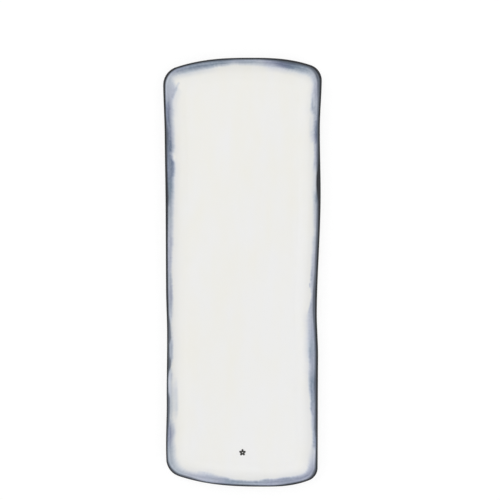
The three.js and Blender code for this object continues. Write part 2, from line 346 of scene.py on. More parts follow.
# %% Rows and faces of a shell
def grid_faces(rows, columns, hoop):
    """Squares of a grid whose columns close round the plate, and whose rows close too on a hoop."""
    row = np.arange(rows if hoop else rows - 1)[:, None]
    column = np.arange(columns)
    here, above = row * columns, (row + 1) % rows * columns
    after = (column + 1) % columns
    return np.stack([here + column, here + after, above + after, above + column], axis=-1).reshape(-1, 4)


def row_face(row, columns):
    """One flat face round all the points in a row of a grid."""
    return (row * columns + np.arange(columns)).tolist()


def sunk(section, depth):
    """Section points moved down through the glaze, against the direction out of it."""
    points, normals = section
    return points - depth * normals


def coat_rows(section):
    """A coat's rows: its outer points one way and its inner points back."""
    return np.concatenate([section[0], sunk(section, GLAZE_THICKNESS)[::-1]])


print("rows of the four coats:", [len(coat_rows(section)) for section in SECTIONS])

# %% Put a surface into the scene
CREASE = np.radians(40)


def make_piece(name, points, faces, slot, *nodes):
    """A mesh from points in mm and faces, smooth but for its sharp edges, in place of the named solids."""
    mesh = bpy.data.meshes.new(name)
    mesh.from_pydata((points.reshape(-1, 3) * MM).tolist(), [], faces)
    mesh.shade_smooth()
    mesh.set_sharp_from_angle(angle=CREASE)
    piece = bpy.data.objects.new(name, mesh)
    bpy.context.scene.collection.objects.link(piece)
    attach(piece, "root")
    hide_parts(*nodes)
    print(name, "has", len(mesh.vertices), "points and", len(mesh.polygons), "faces")
    return piece


# %% [markdown]
# ## The brushwork, planned as dabs and streaks
#
# The blue-grey edge is painted by hand. A charcoal line goes round the lip, and it bleeds a little into the
# wet wash, which is dabbed on in lengths: some dark, some thinned to almost nothing. A noise texture alone
# would look the same all round, so the painting is written down. Each edge lists its dabs, with how far
# they reach and how strong they are. Then come the single streaks, tide marks and gaps that one pull of
# the brush leaves. Noise only roughens them.

# %% The dabs of wash
# In the brush's way round: place in mm along the edge from its middle, reach from the rim in mm, strength,
# and the mm over which the dab fades out
WASH_DABS = {
    "right": [
        (-186, 7.4, 0.54, 5.5), (-177, 6.8, 0.33, 7.0), (-168, 5.2, 0.23, 6.5), (-163, 4.6, 0.60, 3.8),
        (-158, 4.4, 0.70, 3.4), (-152, 4.4, 0.70, 3.4), (-145, 5.6, 0.54, 4.4), (-136, 5.0, 0.58, 3.6),
        (-130, 6.6, 0.60, 2.6), (-122, 6.5, 0.64, 2.6), (-114, 7.3, 0.68, 3.8), (-104, 8.1, 0.75, 5.0),
        (-90, 7.4, 0.60, 5.0), (-74, 8.4, 0.61, 4.6), (-58, 7.4, 0.60, 7.0), (-47, 7.7, 0.49, 7.0),
        (-39, 7.5, 0.48, 5.0), (-32, 6.4, 0.48, 2.6), (-23, 5.2, 0.47, 2.2), (-15, 5.8, 0.46, 3.4),
        (-3, 6.4, 0.50, 3.0), (10, 5.6, 0.48, 4.5), (40, 5.2, 0.43, 4.5), (57, 5.9, 0.49, 5.0),
        (70, 5.9, 0.60, 4.5), (78, 6.7, 0.26, 6.0), (94, 6.2, 0.20, 5.0), (103, 6.0, 0.48, 3.6),
        (113, 5.0, 0.48, 3.0), (121, 5.5, 0.46, 3.4), (129, 5.7, 0.78, 5.5), (141, 5.4, 0.60, 5.0),
        (149, 5.8, 0.54, 5.0), (156, 8.2, 0.48, 4.4), (161, 8.6, 0.44, 3.2), (169, 7.4, 0.58, 6.5),
        (178, 7.0, 0.60, 6.5), (188, 7.6, 0.44, 6.0),
    ],
    "wide": [
        (64, 8.2, 0.66, 6.0), (55, 7.9, 0.83, 6.0), (47, 7.7, 1.02, 5.0), (38, 6.9, 0.94, 4.4),
        (29, 6.9, 0.70, 5.8), (18, 6.0, 0.52, 6.0), (4, 5.7, 0.56, 4.2), (-9, 5.5, 0.58, 4.5),
        (-17, 5.8, 0.77, 5.0), (-32, 6.7, 0.75, 4.0), (-44, 6.8, 0.74, 4.8), (-57, 6.7, 0.69, 5.0),
        (-66, 5.6, 0.64, 5.0),
    ],
    "left": [
        (187, 4.6, 0.46, 6.0), (183, 6.0, 0.38, 8.0), (179, 11.2, 0.33, 6.0), (176, 11.4, 0.39, 3.4),
        (171, 9.8, 0.42, 3.4), (166, 8.4, 0.47, 3.6), (160, 7.5, 0.57, 4.0), (152, 6.9, 0.80, 7.0),
        (136, 6.7, 0.83, 7.0), (120, 7.7, 0.90, 6.0), (112, 6.1, 0.86, 5.0), (104, 8.8, 0.84, 3.4),
        (96, 8.5, 0.84, 4.0), (88, 6.8, 0.88, 4.5), (79, 7.1, 0.79, 4.2), (70, 6.3, 0.70, 5.4),
        (60, 6.5, 0.58, 4.5), (44, 6.1, 0.49, 5.0), (26, 6.1, 0.48, 4.0), (14, 5.3, 0.50, 3.6),
        (0, 4.9, 0.52, 3.0), (-13, 5.5, 0.53, 2.8), (-24, 5.9, 0.54, 3.0), (-33, 5.6, 0.53, 3.4),
        (-41, 5.0, 0.45, 4.0), (-50, 4.1, 0.30, 4.0), (-60, 4.5, 0.36, 4.2), (-70, 5.2, 0.48, 2.8),
        (-81, 5.2, 0.50, 3.0), (-89, 4.2, 0.32, 2.2), (-97, 4.8, 0.38, 4.0), (-105, 5.0, 0.32, 5.5),
        (-117, 5.6, 0.36, 6.0), (-129, 5.8, 0.36, 6.0), (-137, 4.8, 0.36, 5.0), (-144, 4.9, 0.70, 5.6),
        (-153, 6.8, 0.70, 6.0), (-161, 5.8, 0.64, 7.0), (-170, 6.8, 0.51, 8.0), (-179, 6.8, 0.55, 9.0),
        (-188, 6.8, 0.44, 8.0),
    ],
    "narrow": [
        (-66, 6.4, 0.40, 8.0), (-56, 5.8, 0.42, 5.0), (-48, 5.8, 0.44, 5.5), (-38, 7.8, 0.46, 6.5),
        (-29, 7.5, 0.51, 4.6), (-16, 6.5, 0.65, 2.8), (-7, 5.2, 0.63, 2.6), (8, 4.9, 0.61, 2.6),
        (17, 5.6, 0.61, 2.4), (24, 6.6, 0.64, 3.0), (33, 6.3, 0.63, 3.0), (44, 7.3, 0.62, 2.8),
        (57, 6.3, 0.65, 3.6), (66, 6.9, 0.64, 4.0),
    ],
}


def counted(plan):
    """How many places a plan lists on each edge."""
    return {edge: len(listed) for edge, listed in plan.items()}


print("dabs of wash:", counted(WASH_DABS))

# %% The water that ran ahead of the colour, and painted shade on the slope beyond the wash
# In the same way round: place along the edge, and the share of a dab's colour carried on past its border,
# partly by water that ran ahead of the colour and partly as painted shade of the slope
HALOS_AND_SLOPE_SHADE = {
    "right": [
        (-186, 0.10), (-160, 0.03), (-120, 0.06), (-100, 0.10), (-87, 0.20), (-45, 0.28), (-35, 0.05),
        (120, 0.04), (134, 0.15), (180, 0.10),
    ],
    "wide": [(64, 0.18), (32, 0.26), (20, 0.08), (0, 0.03), (-24, 0.05), (-40, 0.20), (-60, 0.30)],
    "left": [
        (180, 0.30), (160, 0.20), (147, 0.08), (56, 0.10), (30, 0.05), (-90, 0.03), (-139, 0.12),
        (-165, 0.05), (-185, 0.10),
    ],
    "narrow": [(-50, 0.12), (-20, 0.05), (10, 0.03), (48, 0.08), (62, 0.12)],
}
# How far the halo and the painted slope shade run on past a dab's border
HALO_AND_SHADE_RUN = 7.0  # how far it ran, in mm
print("places of the halo:", counted(HALOS_AND_SLOPE_SHADE))

# %% The charcoal line
# In the same way round: place along the edge, width of the solid line, reach of its slate bleed, in mm
LINE_RUNS = {
    "right": [
        (-188, 1.85, 3.4), (-178, 1.7, 2.8), (-168, 1.6, 2.4), (-158, 1.4, 2.1), (-146, 1.7, 3.4),
        (-126, 1.95, 3.1), (-104, 2.05, 3.7), (-88, 2.05, 3.2), (-56, 1.95, 3.3), (-36, 1.95, 4.0),
        (-18, 2.05, 4.1), (0, 1.95, 3.5), (30, 1.95, 3.5), (44, 2.05, 3.6), (66, 2.4, 3.7),
        (74, 3.3, 4.3), (82, 3.9, 4.4), (90, 3.7, 4.2), (97, 2.7, 3.8), (106, 1.95, 3.5),
        (120, 1.7, 3.3), (146, 1.7, 3.1), (162, 1.8, 3.4), (172, 2.05, 3.9), (184, 2.15, 4.4),
    ],
    "wide": [
        (62, 2.05, 3.3), (48, 2.2, 3.6), (38, 2.1, 3.4), (28, 1.9, 2.8), (16, 1.7, 2.3),
        (-8, 1.7, 2.4), (-18, 1.7, 2.8), (-42, 1.75, 2.6), (-60, 1.7, 2.3),
    ],
    "left": [
        (180, 2.0, 2.4), (146, 1.8, 2.2), (138, 1.8, 2.8), (130, 1.9, 3.5), (120, 1.9, 3.2),
        (108, 1.9, 2.8), (98, 2.05, 2.5), (88, 2.15, 2.9), (78, 2.35, 3.0), (70, 2.4, 3.5),
        (60, 2.3, 2.7), (30, 1.95, 2.2), (0, 1.85, 2.2), (-24, 1.85, 2.5), (-40, 1.75, 2.5),
        (-49, 1.7, 3.4), (-62, 1.5, 3.8), (-68, 1.5, 2.5), (-79, 1.5, 2.8), (-83, 1.75, 3.8),
        (-89, 1.65, 3.8), (-93, 1.4, 2.4), (-100, 1.1, 1.6), (-112, 1.1, 2.0), (-118, 1.2, 3.1),
        (-130, 1.2, 3.1), (-139, 1.35, 3.0), (-147, 1.35, 2.2), (-165, 1.3, 1.9), (-175, 1.3, 2.0),
        (-187, 1.4, 2.6),
    ],
    "narrow": [
        (-60, 1.6, 2.8), (-50, 1.5, 2.8), (-40, 1.1, 2.0), (-30, 1.0, 1.8), (-20, 1.5, 2.2),
        (0, 1.6, 2.4), (20, 1.4, 1.7), (30, 1.4, 1.7), (44, 1.8, 2.7), (60, 1.8, 2.4),
    ],
}
print("runs of the line:", counted(LINE_RUNS))

# %% Single pulls of the brush
# Start along the edge and in from the rim, end along and in, half width, in mm, and strength, which is less
# than 0 for a gap
STREAKS = {
    "left": [
        (185, 11.7, 177, 11.7, 0.8, 0.16), (176, 11.4, 167, 8.4, 0.8, 0.10),
        (160, 4.2, 142, 4.0, 0.9, 0.14), (124, 5.4, 114, 5.2, 1.0, 0.12),
        (111, 9.0, 107, 7.4, 0.9, -0.08), (105, 7.6, 92, 7.4, 0.8, 0.09),
        (-14, 5.2, -27, 5.2, 0.7, 0.10), (-66, 4.4, -74, 4.2, 1.2, 0.06),
        (-102, 8.0, -139, 8.6, 1.5, 0.05), (-106, 8.3, -136, 8.9, 1.6, 0.05),
        (-112, 8.5, -132, 9.3, 1.4, 0.06), (-144, 6.6, -152, 7.2, 1.1, 0.10),
        (-146, 3.6, -162, 4.0, 1.0, 0.06),
    ],
    "narrow": [
        (-46, 8.2, -40, 8.5, 1.0, 0.08), (-10, 4.8, 14, 4.6, 0.8, 0.12), (20, 6.0, 48, 6.8, 0.6, 0.08),
    ],
    "right": [
        (-164, 3.4, -158, 3.4, 0.6, 0.10), (-132, 6.4, -126, 6.4, 0.8, 0.08),
        (-112, 7.0, -98, 7.0, 0.8, 0.10), (-88, 7.4, -72, 7.4, 0.8, 0.12),
        (-38, 7.4, -30, 5.6, 0.6, 0.12), (-14, 7.0, -11, 7.3, 0.5, 0.30),
        (-8, 6.2, 2, 6.0, 0.6, 0.14), (66, 4.4, 74, 4.4, 0.9, 0.14),
        (122, 3.8, 142, 3.6, 1.1, 0.16), (125, 7.4, 134, 7.6, 1.2, 0.08),
        (131, 8.6, 148, 8.6, 1.0, 0.06), (155, 7.4, 166, 8.2, 0.7, 0.12),
        (158, 6.2, 169, 6.6, 0.9, -0.13),
    ],
    "wide": [(52, 6.6, 34, 6.4, 0.9, 0.08), (-36, 5.0, -52, 5.2, 1.0, 0.06)],
}
print("single pulls of the brush:", counted(STREAKS))

# %% Where a dab lies round the lip
X, Y = 0, 1
ON_SIDE, ON_END, ON_ROUND = FINE
CORNERS = np.cumsum([ON_SIDE + ON_ROUND // 2, ON_END + ON_ROUND, ON_SIDE + ON_ROUND, ON_END + ON_ROUND])
EDGES = {  # edge: the columns from the middle of one corner to the middle of the next, and x or y
    "right": (np.arange(-(ON_ROUND // 2), CORNERS[0] + 1), Y),
    "wide": (np.arange(CORNERS[0], CORNERS[1] + 1), X),
    "left": (np.arange(CORNERS[1], CORNERS[2] + 1), Y),
    "narrow": (np.arange(CORNERS[2], CORNERS[3] + 1), X),
}


def way_at(edge, at):
    """The way round the lip at a place on one edge: the place looked up among that edge's columns."""
    columns, axis = EDGES[edge]
    count = len(fine_way)
    way = fine_way[columns % count] + PERIMETER * (columns // count)
    place = lip_edge[columns % count][:, axis] - MIDDLE[axis]
    order = np.argsort(place)
    return np.interp(at, place[order], way[order])


def round_the_rim(plan, way):
    """A plan's numbers at each way round the lip: straight lines from place to place, closed to a ring."""
    rows = np.array([(way_at(edge, row[0]), *row[1:]) for edge, listed in plan.items() for row in listed])
    return [np.interp(way, rows[:, 0], column, period=PERIMETER) for column in rows.T[1:]]


middles = {edge: round(float(way_at(edge, 0)), 1) for edge in EDGES}
print("middle of each edge, in mm round the lip:", middles)

# %% Borders that waver and fade
SINES, SINES_REACH = 9, 4  # how many make a waver, and how far their sum mostly goes
WAVERS = np.random.default_rng(seed=11)


def waver(way, waves):
    """A restless line round the plate: a sum of sines with seeded counts and starts, about -1 to 1."""
    counts = WAVERS.integers(*waves, SINES)
    starts = WAVERS.uniform(0, 2 * np.pi, SINES)
    return np.sin(np.outer(2 * np.pi * way / PERIMETER, counts) + starts).sum(axis=1) / SINES_REACH


def ended(distance, at, fade):
    """1 on the near side of a border and 0 beyond it, with a smooth step as wide as the fade."""
    return 1 - smooth((distance - at) / fade + 0.5)


print("a fade of 2 mm, 1 mm before its border, on it and 1 mm beyond:", ended(np.array([-1, 0, 1]), 0, 2))


# %% Paint a grid of rim distances
def streaked(distance, way):
    """What the single pulls add: each is strongest along a straight line in the plane of way and distance,
    and fades by a smooth step to nothing at two half widths from it."""
    total = np.zeros(np.broadcast_shapes(distance.shape, way.shape))
    for edge, pulls in STREAKS.items():
        for start, near, stop, far, half, strength in pulls:
            first = way_at(edge, start)
            run, rise = way_at(edge, stop) - first, far - near
            along = (way - first + PERIMETER / 2) % PERIMETER - PERIMETER / 2
            across = distance - near
            share = np.clip((along * run + across * rise) / (run**2 + rise**2), 0, 1)
            off = np.hypot(along - share * run, across - share * rise)
            total += strength * ended(off, half, 2 * half)
    return total


BLEED, BLEED_FADE = 0.93, 1.8  # how dense the slate bleed is, and the mm over which it fades out
LINE_FADE = 1.2
MOST_WASH = 1.2
SLOW_WAVES, FAST_WAVES = (12, 90), (150, 400)  # waves in one round
SLOW_WAVER, FAST_WAVER = 0.25, 0.2  # how far the wash's border wavers, in mm


def paint(distance, way):
    """Line, shade and wash at each distance from the rim and way round it. A dab of wash ends in a wavering
    border, sharp or soft, and leaves a pale halo beyond it: partly water that ran ahead of the colour,
    partly painted shade of the slope."""
    reach, strength, fade = round_the_rim(WASH_DABS, way)
    [halo_and_shade_share] = round_the_rim(HALOS_AND_SLOPE_SHADE, way)
    width, bleed = round_the_rim(LINE_RUNS, way)
    reach = reach + SLOW_WAVER * waver(way, SLOW_WAVES) + FAST_WAVER * waver(way, FAST_WAVES)
    distance, way = distance[:, None], way[None, :]
    body = ended(distance, reach, fade)
    # Beyond each dab: a pale halo of water that ran ahead of the colour, partly painted shade of the slope
    halo_and_shade = ended(distance, reach + HALO_AND_SHADE_RUN / 2, HALO_AND_SHADE_RUN)
    wash = strength * (body + halo_and_shade_share * (halo_and_shade - body)) + streaked(distance, way)
    shade = BLEED * ended(distance, bleed, BLEED_FADE)
    line = ended(distance, width, LINE_FADE)
    return np.stack([line, shade, np.clip(wash, 0, MOST_WASH)], axis=-1)


# %% Paint the outer wall
OUTER_LINE = 3.4  # how far the line wraps over the lip, in mm
OUTER_WAVER = 0.45  # how far its border wavers, in mm
OUTER_BLEED = 1.6  # how far it bleeds, in mm
OUTER_REACH, OUTER_STRENGTH = 0.45, 0.6  # of the wash, as shares of the inner dabs


def paint_outside(down, way):
    """Line, shade and wash at each distance down the outer wall. The brush wraps the same loads of colour
    over the lip, so the dabs are those of the inside, less far and less strong."""
    reach, strength, fade = round_the_rim(WASH_DABS, way)
    border = OUTER_LINE + OUTER_WAVER * waver(way, SLOW_WAVES) + FAST_WAVER * waver(way, FAST_WAVES)
    down = down[:, None]
    wash = OUTER_STRENGTH * strength * ended(down, border + OUTER_REACH * reach, fade)
    shade = BLEED * ended(down, border + OUTER_BLEED / 2, OUTER_BLEED)
    return np.stack([ended(down, border, LINE_FADE), shade, wash], axis=-1)


# %% One sheet of paint from the back of the lip to the floor
painted = joined(*SECTIONS)[0]
crest = np.argmin(painted[:, 0])
length_along = np.concatenate([[0], np.cumsum(np.linalg.norm(np.diff(painted, axis=0), axis=1))])
rim_distance = np.where(np.arange(len(painted)) < crest, length_along - length_along[crest], painted[:, 0])
inner_paint = paint(rim_distance[crest:], fine_way)
outer_paint = paint_outside(-rim_distance[:crest], fine_way)
paint_sheet = np.concatenate([outer_paint, inner_paint])
most = [round(float(layer.max()), 2) for layer in np.moveaxis(paint_sheet, -1, 0)]
print("paint sheet of", paint_sheet.shape[:2], "points, most line, shade and wash:", most)

# %% Give the paint to a piece
STREAK_LENGTH, STREAK_WIDTH = 30.0, 1.3  # of a brush streak, along the rim and across it, in mm
BACK_PART, LINE_PART, WASH_PART, WELL_PART = range(len(SECTIONS))
first_rows = np.cumsum([0] + [len(points) - 1 for points, _ in SECTIONS])
print("rows of the sheet where the parts start and end:", first_rows.tolist())


def set_vectors(piece, name, values):
    """Stores one vector for each point of a piece, with zeros for the points that aren't on the sheet."""
    filled = np.zeros((len(piece.data.vertices), 3), np.float32)
    filled[: values.size // 3] = values.reshape(-1, 3)
    piece.data.attributes.new(name, "FLOAT_VECTOR", "POINT").data.foreach_set("vector", filled.ravel())


def set_paint(piece, part):
    """Copies a part's rows of the paint sheet to a piece whose first points are those rows. The brush
    vector goes once round a circle with the rim, and up with the distance from it, in streak sizes."""
    rows = len(SECTIONS[part][0])
    chosen = slice(first_rows[part], first_rows[part] + rows)
    turn = 2 * np.pi * fine_way / PERIMETER
    radius = PERIMETER / (2 * np.pi * STREAK_LENGTH)
    brush = np.zeros((rows, len(fine_way), 3))
    brush[..., 0] = radius * np.cos(turn)
    brush[..., 1] = radius * np.sin(turn)
    brush[..., 2] = rim_distance[chosen, None] / STREAK_WIDTH
    set_vectors(piece, "paint", paint_sheet[chosen])
    set_vectors(piece, "brush", brush)


# %% [markdown]
# ## The rim line and the wash
#
# On the real plate these are two colours brushed on before the glaze firing, so they are skins over the
# clay and not stripes in one texture. Each is a hoop of its own here, and the two meet edge to edge.


# %% Make the rim line and the wash
def make_hoop(name, rows, steps, slot, node):
    """A closed hoop round the whole plate, from the rows of its section."""
    points = carried(rows, steps)
    faces = grid_faces(*points.shape[:2], hoop=True).tolist()
    return make_piece(name, points, faces, slot, node)


charcoal_rim = make_hoop("charcoal_rim", coat_rows(rim_line), FINE, "charcoal_line", "rim_line")
brushed_wash = make_hoop("brushed_wash", coat_rows(wash_slope), FINE, "blue_grey_wash", "edge_wash")
set_paint(charcoal_rim, LINE_PART)
set_paint(brushed_wash, WASH_PART)

# %% [markdown]
# ## The glazed face
#
# White glaze covers the slope below the wash and the whole floor. The slope is more rings of the same
# grid. The floor could be closed with one huge flat face, but light would then slide over it without a
# ripple, so it is a grid of its own: a patch spanned between the four edges of the innermost ring, with
# waves of under a tenth of a millimetre such as a pressed slab keeps.


# %% Span a patch between the four edges of a ring
def spanned(edge_ring, steps):
    """A patch between four edges. Each point is the blend of the left and right edges, plus the blend of
    the lower and upper ones, less the blend of the four corners. Returns the patch and the ring's columns
    along its four edges."""
    on_side, on_end, on_round = steps
    count = len(edge_ring)
    tall, broad = on_side + on_round, on_end + on_round
    narrow_right = count - on_round // 2
    narrow_left, wide_left = narrow_right - broad, narrow_right - broad - tall
    columns = {
        "lower": (narrow_left + np.arange(broad + 1)) % count,
        "upper": (wide_left - np.arange(broad + 1)) % count,
        "left": (narrow_left - np.arange(tall + 1)) % count,
        "right": (narrow_right + np.arange(tall + 1)) % count,
    }
    lower, upper = edge_ring[columns["lower"]][None], edge_ring[columns["upper"]][None]
    left, right = edge_ring[columns["left"]][:, None], edge_ring[columns["right"]][:, None]
    u = np.linspace(0, 1, broad + 1)[None, :, None]
    v = np.linspace(0, 1, tall + 1)[:, None, None]
    corners = (1 - v) * ((1 - u) * lower[:, :1] + u * lower[:, -1:])
    corners = corners + v * ((1 - u) * upper[:, :1] + u * upper[:, -1:])
    return (1 - v) * lower + v * upper + (1 - u) * left + u * right - corners, columns


def patch_faces(shape, columns, ring_start, patch_start):
    """Squares of a patch: its border is a ring's points, and its inside points come from patch_start on."""
    tall, broad = shape
    index = np.empty((tall, broad), int)
    index[1:-1, 1:-1] = patch_start + np.arange((tall - 2) * (broad - 2)).reshape(tall - 2, broad - 2)
    index[0], index[-1] = ring_start + columns["lower"], ring_start + columns["upper"]
    index[:, 0], index[:, -1] = ring_start + columns["left"], ring_start + columns["right"]
    corners = [index[:-1, :-1], index[:-1, 1:], index[1:, 1:], index[1:, :-1]]
    return np.stack(corners, axis=-1).reshape(-1, 4)


# %% Ripple a floor
RIPPLE = 0.09
RIPPLE_WAVES = [  # radians for each mm along x and y, and start
    (0.052, 0.021, 0.3), (-0.034, 0.047, 1.9), (0.081, -0.030, 4.4), (0.017, 0.071, 2.7),
]
RISE_ACROSS, RISE_ALONG = 6, 12  # it is full after one part in so many of the floor's width and length


def rippled(patch):
    """Raises a patch by a sum of slow waves across it, faded to nothing at its border."""
    tall, broad = patch.shape[:2]
    u, v = np.linspace(0, 1, broad)[None, :], np.linspace(0, 1, tall)[:, None]
    fade = smooth(RISE_ACROSS * np.minimum(u, 1 - u)) * smooth(RISE_ALONG * np.minimum(v, 1 - v))
    waves = sum(np.sin(a * patch[..., 0] + b * patch[..., 1] + c) for a, b, c in RIPPLE_WAVES)
    lifted = patch.copy()
    lifted[..., 2] += RIPPLE * fade * waves / len(RIPPLE_WAVES)
    return lifted


# %% Make the glazed face
well_points = carried(coat_rows(well_slope), FINE)
well_rows, well_columns = well_points.shape[:2]
floor_ring = len(well_slope[0]) - 1
floor_patch, floor_columns = spanned(well_points[floor_ring], FINE)
floor_patch = rippled(floor_patch)

# No squares go from the floor's upper ring to its lower one: the patch closes the shell above, and one flat
# face closes it below
well_faces = grid_faces(well_rows, well_columns, hoop=True).reshape(well_rows, well_columns, 4)
well_faces = np.delete(well_faces, floor_ring, axis=0).reshape(-1, 4)
floor_start, inside_start = floor_ring * well_columns, well_rows * well_columns
floor_faces = patch_faces(floor_patch.shape[:2], floor_columns, floor_start, inside_start)
underneath = row_face(floor_ring + 1, well_columns)[::-1]
face_points = np.concatenate([well_points.reshape(-1, 3), floor_patch[1:-1, 1:-1].reshape(-1, 3)])
face_faces = np.concatenate([well_faces, floor_faces]).tolist() + [underneath]
glazed_face = make_piece("glazed_face", face_points, face_faces, "white_glaze", "face_glaze")
set_paint(glazed_face, WELL_PART)

# %% [markdown]
# ## The back, the base and the bare clay
#
# Underneath, glaze covers the outer wall and the panel inside the foot. The potter wipes it back beside
# the foot so that the plate doesn't stick to the kiln shelf, and the melted edge draws up into a small
# round bead. The foot itself is ground flat and left bare, with its edges rubbed round. A Bevel modifier
# could round these edges, but each has a round of its own, so they are drawn in the sections.

# %% Make the glazed back
FOOT_SETBACK = 4
FOOT_WIDTH = 7
FOOT_TAPER = 0.6
FOOT_ROUND = 0.8
WIPED_MARGIN = 1
FOOT_INSET = WALL_RUN + FOOT_SETBACK
ROUND_STEPS = 6
INWARDS, OUTWARDS = 1, -1


def bead(inset, towards):
    """The melted edge of the glaze: a quarter round one glaze thickness across, from the clay down to the
    underside, that faces inwards where towards is 1 and outwards where it is -1."""
    turn = np.linspace(0, np.pi / 2, ROUND_STEPS)
    centre = np.array([inset - towards * GLAZE_THICKNESS, UNDERSIDE_HEIGHT + GLAZE_THICKNESS])
    return centre + GLAZE_THICKNESS * np.column_stack([towards * np.cos(turn), -np.sin(turn)])


back_bead = bead(FOOT_INSET - WIPED_MARGIN, INWARDS)
bead_foot = back_bead[-1] + [0, GLAZE_THICKNESS]
back_rows = np.concatenate([coat_rows(back_wall), [bead_foot], back_bead])
glazed_back = make_hoop("glazed_back", back_rows, FINE, "white_glaze", "back_glaze")
set_paint(glazed_back, BACK_PART)

# %% Make the glazed base
base_bead = bead(FOOT_INSET + FOOT_WIDTH + WIPED_MARGIN, OUTWARDS)[::-1]
base_ring = carried(base_bead, PLAIN)
base_rows, base_columns = base_ring.shape[:2]
base_patch, patch_columns = spanned(base_ring[0], PLAIN)
base_sides = grid_faces(base_rows, base_columns, hoop=False)
base_below = patch_faces(base_patch.shape[:2], patch_columns, 0, base_rows * base_columns)[:, ::-1]
base_top = row_face(base_rows - 1, base_columns)
base_points = np.concatenate([base_ring.reshape(-1, 3), base_patch[1:-1, 1:-1].reshape(-1, 3)])
base_faces = np.concatenate([base_sides, base_below]).tolist() + [base_top]
glazed_base = make_piece("glazed_base", base_points, base_faces, "white_glaze", "base_glaze")

# %% Make the clay slab
CLAY_WALL_STEPS, CLAY_LIP_STEPS = 14, 16
clay_section = joined(
    wall(np.linspace(0, 1, CLAY_WALL_STEPS), BACK),
    lip(np.linspace(LIP_BACK_ANGLE, LIP_FACE_ANGLE, CLAY_LIP_STEPS)),
    wall(np.linspace(1, 0, CLAY_WALL_STEPS), FACE),
)
clay_points = carried(sunk(clay_section, GLAZE_THICKNESS + BOND_GAP), PLAIN)
clay_rows, clay_columns = clay_points.shape[:2]
clay_faces = grid_faces(clay_rows, clay_columns, hoop=False).tolist()
clay_faces += [row_face(0, clay_columns)[::-1], row_face(clay_rows - 1, clay_columns)]
clay_slab = make_piece("clay_slab", clay_points, clay_faces, "bare_clay", "clay_body")

# %% Make the foot ring
rubbed = np.linspace(1.5 * np.pi, np.pi, ROUND_STEPS)
foot_edge = np.column_stack([
    FOOT_TAPER + FOOT_ROUND + FOOT_ROUND * np.cos(rubbed),
    FOOT_ROUND + FOOT_ROUND * np.sin(rubbed),
])
foot_half = np.concatenate([foot_edge, [[0, UNDERSIDE_HEIGHT + GLAZE_THICKNESS]]])
foot_rows = np.concatenate([
    foot_half + [FOOT_INSET, 0],
    (foot_half * [-1, 1] + [FOOT_INSET + FOOT_WIDTH, 0])[::-1],
])
clay_foot = make_hoop("clay_foot", foot_rows, PLAIN, "bare_clay", "foot_ring")

# %% [markdown]
# ## The blossom
#
# A small blossom is painted on the face by the narrow end. It is a dab of charcoal, a little proud of the
# glaze. A texture could show it, but without an edge that catches the light, so it is a thin plate with a
# domed edge and an open eye.

# %% Make the blossom
PETALS = 5
PETAL_RADIUS = 3.2
PETAL_WAIST = 0.55  # its reach between two petals, as a share of a petal's
EYE_RADIUS = 0.45
BLOSSOM_THICKNESS = 0.15
BLOSSOM_FROM_FLOOR_EDGE = 9
BLOSSOM_COLUMNS = 160
PETAL_SECTION = [  # share of the way from the eye to the petal's edge, share of the thickness
    (0, 0), (0, 0.6), (0.12, 0.9), (0.3, 1), (0.55, 1),
    (0.75, 1), (0.9, 0.95), (0.97, 0.75), (1, 0.4), (1, 0),
]

turn = 2 * np.pi * np.arange(BLOSSOM_COLUMNS) / BLOSSOM_COLUMNS
petal_reach = PETAL_WAIST + (1 - PETAL_WAIST) * np.abs(np.cos(PETALS * turn / 2))
petal_across, petal_height = np.array(PETAL_SECTION).T[:, :, None]
radius = EYE_RADIUS + petal_across * (PETAL_RADIUS * petal_reach - EYE_RADIUS)
height = FLOOR_HEIGHT + BOND_GAP + BLOSSOM_THICKNESS * petal_height
from_middle = WALL_RUN + BLOSSOM_FROM_FLOOR_EDGE - LENGTH / 2
blossom_points = np.stack([
    -radius * np.sin(turn) - MIDDLE[X],
    radius * np.cos(turn) + from_middle - MIDDLE[Y],
    np.broadcast_to(height, radius.shape),
], axis=-1)
blossom_faces = grid_faces(*radius.shape, hoop=True)[:, ::-1].tolist()
painted_blossom = make_piece(
    "painted_blossom", blossom_points, blossom_faces, "charcoal_line", "blossom_mark"
)

# %% [markdown]
# ## Finishes
#
# Seven materials cover the plate: four painted glazes, a plain white one, bare clay and a dab of charcoal.
# Colours are written as they look on screen, from 0 to 255, and turned into the linear values that a shader
# takes. A plain blue-grey would hide the glaze like house paint. The wash is a thin stain over white glaze,
# so it multiplies the white below it and goes from pale to dense along a ramp, as a watercolour does.


# %% Colours
def linear(red, green, blue):
    """A screen colour as linear light: each channel plus 0.055, over 1.055, to the power 2.4."""
    return (*(((np.array([red, green, blue]) / 255 + 0.055) / 1.055) ** 2.4).tolist(), 1.0)


def grey(level):
    """A grey of so much linear light."""
    return (level, level, level, 1.0)


print("a screen grey of 128 is", round(linear(128, 128, 128)[0], 3), "of full light")


# %% Nodes that work out a number or a colour
def add(material, kind, sockets=None, **settings):
    """Adds a node with its own settings, and a constant or a link for each socket that is named."""
    node = material.node_tree.nodes.new("ShaderNode" + kind)
    for name, value in settings.items():
        setattr(node, name, value)
    for name, value in (sockets or {}).items():
        if isinstance(value, bpy.types.NodeSocket):
            material.node_tree.links.new(value, node.inputs[name])
        else:
            node.inputs[name].default_value = value
    return node


def ramp(material, factor, stops):
    """A colour for each factor, blended between stops of place and colour."""
    node = add(material, "ValToRGB", {"Fac": factor})
    elements = node.color_ramp.elements
    while len(elements) < len(stops):
        elements.new(0.5)
    for element, (place, colour) in zip(elements, stops):
        element.position = place
        element.color = colour
    return node.outputs["Color"]


def math(material, operation, first, second):
    """One arithmetic step on numbers that vary over the surface."""
    return add(material, "Math", {0: first, 1: second}, operation=operation).outputs[0]


def spread(material, value, limits):
    """A value of about 0 to 1, spread to run from one limit to the other."""
    sockets = {"Value": value, "To Min": limits[0], "To Max": limits[1]}
    return add(material, "MapRange", sockets).outputs["Result"]


